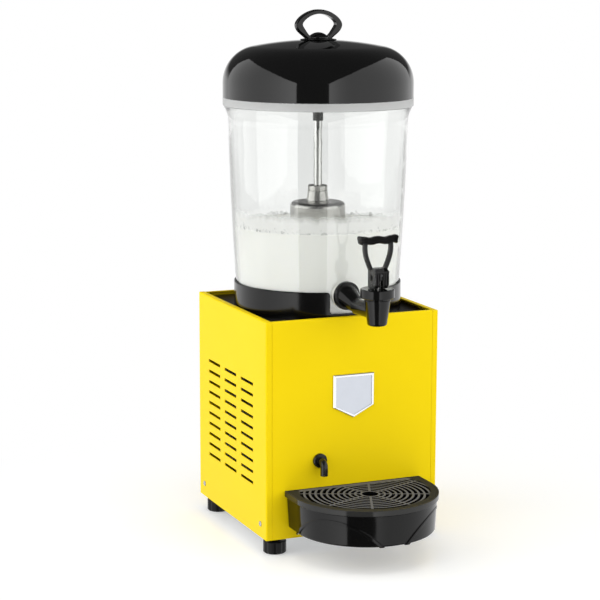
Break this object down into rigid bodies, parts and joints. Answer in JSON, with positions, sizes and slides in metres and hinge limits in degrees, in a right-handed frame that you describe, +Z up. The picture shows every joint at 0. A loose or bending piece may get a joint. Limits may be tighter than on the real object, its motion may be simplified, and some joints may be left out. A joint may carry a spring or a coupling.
{
  "type": "cold drink dispenser",
  "caption": "Counter-top cooled drink dispenser: clear bowl with a spray column on a sheet steel cabinet, domed lid, lever tap and half-round drip tray.",
  "frame": {"origin": "on the floor, under the middle of the whole object's box", "axes": "+X to the right across the front, +Y from the front to the back, +Z up"},
  "size_m": [0.2532, 0.385, 0.7],
  "materials": {
    "panel_paint": "textured powder coat, yellow",
    "pan_steel": "galvanised",
    "black_moulding": "satin black",
    "lid_black": "high gloss black",
    "bowl_clear": "clear polycarbonate",
    "drink_liquid": "milky liquid",
    "stainless": "satin",
    "stainless_tube": "polished",
    "tap_black": "moulded, gloss black",
    "badge_metal": "bevelled plate, satin",
    "rubber_black": "matt",
    "silicone": "milky, matt",
    "copper": "drawn copper",
    "aluminium_fin": "mill finish",
    "pot_enamel": "black enamel",
    "grey_moulding": "satin grey",
    "foam": "rigid foam",
    "screw_zinc": "bright zinc",
    "rocker_red": "moulded red"
  },
  "bodies": {
    "cabinet": {"base_pan": "pan_steel", "left_side_panel": "panel_paint", "right_side_panel": "panel_paint", "front_panel": "panel_paint", "back_panel": "panel_paint", "top_deck": "black_moulding", "bowl_collar": "black_moulding", "badge_plate": "badge_metal", "panel_screws": "screw_zinc", "drain_spout": "black_moulding", "drain_hose": "silicone", "compressor": "pot_enamel", "compressor_mounts": "rubber_black", "terminal_cover": "grey_moulding", "condenser": "aluminium_fin", "fan_shroud": "pan_steel", "fan_motor": "pan_steel", "filter_drier": "copper", "discharge_line": "copper", "capillary_tube": "copper", "evaporator_coil": "copper", "cold_plate": "stainless", "insulation": "foam", "pump_motor": "pan_steel", "tray_bracket": "pan_steel", "thermostat": "grey_moulding", "switch_housings": "black_moulding", "power_inlet": "black_moulding"},
    "fan": {"fan_blades": "grey_moulding"},
    "drive": {"drive_magnet": "pan_steel"},
    "rotor": {"impeller": "black_moulding"},
    "column": {"pump_bell": "stainless", "neck_collar": "stainless", "spray_tube": "stainless_tube", "pump_housing": "black_moulding", "spray_nozzle": "black_moulding"},
    "bowl": {"bowl": "bowl_clear", "bowl_gasket": "silicone", "drink": "drink_liquid", "tap_body": "tap_black", "tap_nut": "tap_black", "tap_washers": "silicone", "tap_bonnet": "tap_black"},
    "valve": {"tap_stem": "stainless", "tap_seat_cup": "silicone", "tap_spring": "stainless"},
    "lever": {"tap_lever": "tap_black", "tap_pin": "stainless"},
    "lid": {"lid": "lid_black", "lid_handle": "lid_black", "handle_cap": "lid_black"},
    "tray": {"drip_tray": "black_moulding"},
    "grille": {"drip_grille": "black_moulding"},
    "spindle": {"thermostat_spindle": "grey_moulding"},
    "cooling_switch": {"cooling_rocker": "rocker_red"},
    "pump_switch": {"pump_rocker": "rocker_red"},
    "front_left_foot": {"front_left_foot": "black_moulding"},
    "front_right_foot": {"front_right_foot": "black_moulding"},
    "rear_left_foot": {"rear_left_foot": "black_moulding"},
    "rear_right_foot": {"rear_right_foot": "black_moulding"}
  },
  "joints": [
    {"name": "fan_spin", "type": "hinge", "parent": "cabinet", "child": "fan", "pos_m": [-0.0863, 0.053, 0.1357], "axis": [1, 0, 0], "continuous": true},
    {"name": "drive_spin", "type": "hinge", "parent": "cabinet", "child": "drive", "pos_m": [0, 0.0595, 0.258], "axis": [0, 0, 1], "continuous": true},
    {"name": "rotor_spin", "type": "hinge", "parent": "cabinet", "child": "rotor", "pos_m": [0, 0.0595, 0.3095], "axis": [0, 0, 1], "continuous": true},
    {"name": "column_lift", "type": "slide", "parent": "cabinet", "child": "column", "axis": [0, 0, 1], "range_m": [0, 0.04]},
    {"name": "bowl_lift", "type": "slide", "parent": "cabinet", "child": "bowl", "axis": [0, 0, 1], "range_m": [0, 0.32]},
    {"name": "lid_lift", "type": "slide", "parent": "bowl", "child": "lid", "axis": [0, 0, 1], "range_m": [0, 0.12]},
    {"name": "valve_lift", "type": "slide", "parent": "bowl", "child": "valve", "axis": [0, 0, 1], "range_m": [0, 0.004], "deforming": ["tap_spring"]},
    {"name": "lever_turn", "type": "hinge", "parent": "valve", "child": "lever", "pos_m": [0, -0.1295, 0.3717], "axis": [1, 0, 0], "range_deg": [0, 35], "stiffness_Nm_per_rad": 0.12, "springref_deg": -14.32},
    {"name": "tray_slide", "type": "slide", "parent": "cabinet", "child": "tray", "axis": [0, -1, 0], "range_m": [0, 0.16]},
    {"name": "grille_lift", "type": "slide", "parent": "tray", "child": "grille", "axis": [0, 0, 1], "range_m": [0, 0.016]},
    {"name": "thermostat_turn", "type": "hinge", "parent": "cabinet", "child": "spindle", "pos_m": [0.062, 0.1905, 0.237], "axis": [0, 1, 0], "range_deg": [0, 270]},
    {"name": "cooling_rock", "type": "hinge", "parent": "cabinet", "child": "cooling_switch", "pos_m": [-0.078, 0.1884, 0.237], "axis": [1, 0, 0], "range_deg": [-12, 0]},
    {"name": "pump_rock", "type": "hinge", "parent": "cabinet", "child": "pump_switch", "pos_m": [-0.046, 0.1884, 0.237], "axis": [1, 0, 0], "range_deg": [-12, 0]},
    {"name": "front_left_foot_turn", "type": "hinge", "parent": "cabinet", "child": "front_left_foot", "pos_m": [-0.1025, -0.0395, 0.022], "axis": [0, 0, 1], "continuous": true},
    {"name": "front_right_foot_turn", "type": "hinge", "parent": "cabinet", "child": "front_right_foot", "pos_m": [0.1025, -0.0395, 0.022], "axis": [0, 0, 1], "continuous": true},
    {"name": "rear_left_foot_turn", "type": "hinge", "parent": "cabinet", "child": "rear_left_foot", "pos_m": [-0.1025, 0.1705, 0.022], "axis": [0, 0, 1], "continuous": true},
    {"name": "rear_right_foot_turn", "type": "hinge", "parent": "cabinet", "child": "rear_right_foot", "pos_m": [0.1025, 0.1705, 0.022], "axis": [0, 0, 1], "continuous": true}
  ],
  "couplings": [
    {"joint": "rotor_spin", "follows": "drive_spin", "ratio": 1},
    {"joint": "valve_lift", "follows": "lever_turn", "m_per_rad": 0.0061}
  ]
}
